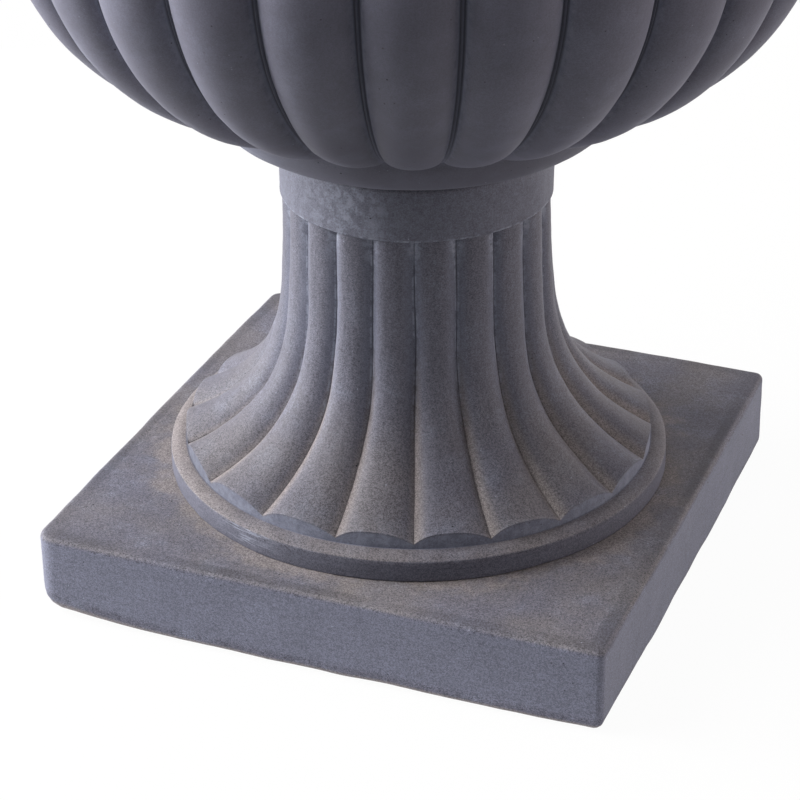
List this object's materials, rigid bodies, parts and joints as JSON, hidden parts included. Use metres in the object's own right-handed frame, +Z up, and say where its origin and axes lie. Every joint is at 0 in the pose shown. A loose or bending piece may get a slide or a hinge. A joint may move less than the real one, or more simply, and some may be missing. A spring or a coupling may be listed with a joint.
{
  "type": "urn vase",
  "caption": "Classical cast-stone urn vase: gadrooned bowl with a bell-shaped throat and rolled rim, on a reeded trumpet pedestal and a square plinth, with a lift-out drain plug.",
  "frame": {"origin": "centre of the plinth's underside, on the urn's axis", "axes": "+Z up along the urn's axis, +X and +Y square to the plinth's sides"},
  "size_m": [0.4559, 0.456, 0.5438],
  "materials": {
    "cast_stone": "matt charcoal cast stone, hand rubbed, with pale dust in the hollows",
    "black_rubber": "matt moulded rubber",
    "zinc_steel": "bright zinc plate"
  },
  "bodies": {
    "urn": {"plinth": "cast_stone", "base_gasket": "black_rubber", "pedestal": "cast_stone", "neck_gasket": "black_rubber", "bowl": "cast_stone", "sealing_washer": "black_rubber", "anchor_bar": "zinc_steel", "tie_washers": "zinc_steel", "tie_nuts": "zinc_steel", "tie_rod": "zinc_steel"},
    "drain_plug": {"drain_plug": "black_rubber"}
  },
  "joints": [
    {"name": "plug_lift", "type": "slide", "parent": "urn", "child": "drain_plug", "axis": [0, 0, 1], "range_m": [0, 0.31]}
  ]
}
